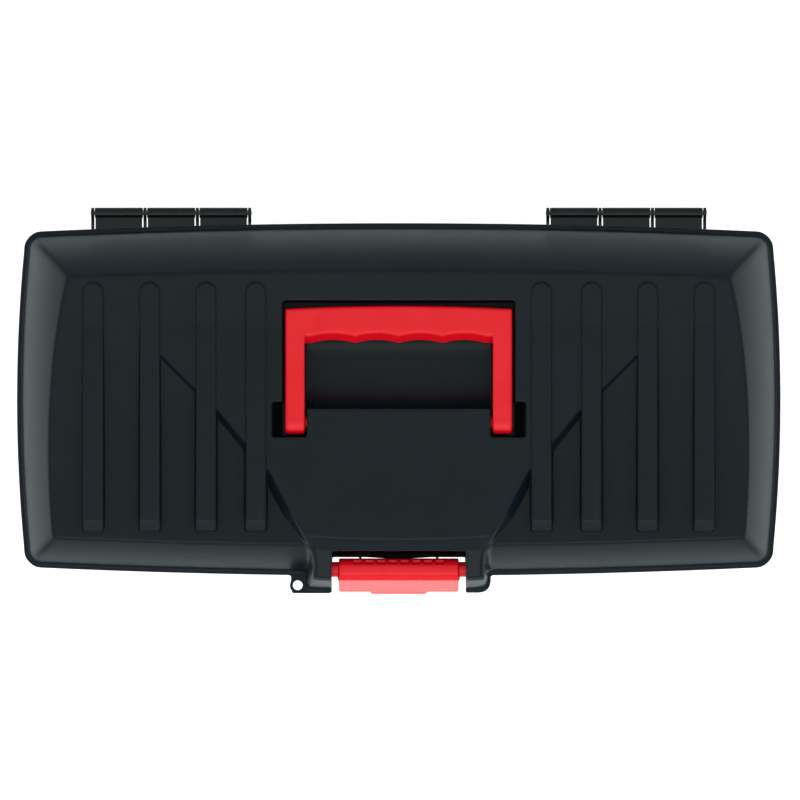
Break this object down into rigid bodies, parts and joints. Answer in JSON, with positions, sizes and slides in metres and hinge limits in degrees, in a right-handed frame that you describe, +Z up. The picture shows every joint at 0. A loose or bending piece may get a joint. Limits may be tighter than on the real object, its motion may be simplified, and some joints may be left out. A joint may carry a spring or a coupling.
{
  "type": "toolbox with tray",
  "caption": "Moulded plastic toolbox with a hinged domed lid, fold-down carry handle, front latch and a lift-out divided tray.",
  "frame": {"origin": "centre of the base, on the floor plane", "axes": "X along the box, +Y towards the hinges, +Z up; the latch faces -Y"},
  "size_m": [0.458, 0.2317, 0.2247],
  "materials": {
    "black_moulding": "satin moulded polypropylene",
    "lid_moulding": "satin moulded polypropylene",
    "red_moulding": "satin to glossy moulded polypropylene",
    "tray_moulding": "satin moulded polypropylene",
    "pin_steel": "drawn steel wire"
  },
  "bodies": {
    "tub": {"tub": "black_moulding", "hinge_pin_left": "pin_steel", "hinge_pin_right": "pin_steel"},
    "lid": {"lid": "lid_moulding"},
    "handle": {"carry_handle": "red_moulding"},
    "latch": {"latch": "red_moulding"},
    "tray": {"tray": "tray_moulding", "tray_divider_1": "tray_moulding", "tray_divider_2": "tray_moulding", "tray_divider_3": "tray_moulding", "tray_divider_4": "tray_moulding"}
  },
  "joints": [
    {"name": "lid_hinge", "type": "hinge", "parent": "tub", "child": "lid", "pos_m": [0, 0.1121, 0.177], "axis": [-1, 0, 0], "range_deg": [0, 105]},
    {"name": "handle_swing", "type": "hinge", "parent": "lid", "child": "handle", "pos_m": [0, -0.0134, 0.21205], "axis": [1, 0, 0], "range_deg": [0, 95]},
    {"name": "latch_swing", "type": "hinge", "parent": "lid", "child": "latch", "pos_m": [0, -0.1013, 0.196], "axis": [-1, 0, 0], "range_deg": [0, 110]},
    {"name": "tray_lift", "type": "slide", "parent": "tub", "child": "tray", "axis": [0, 0, 1], "range_m": [0, 0.012]}
  ]
}
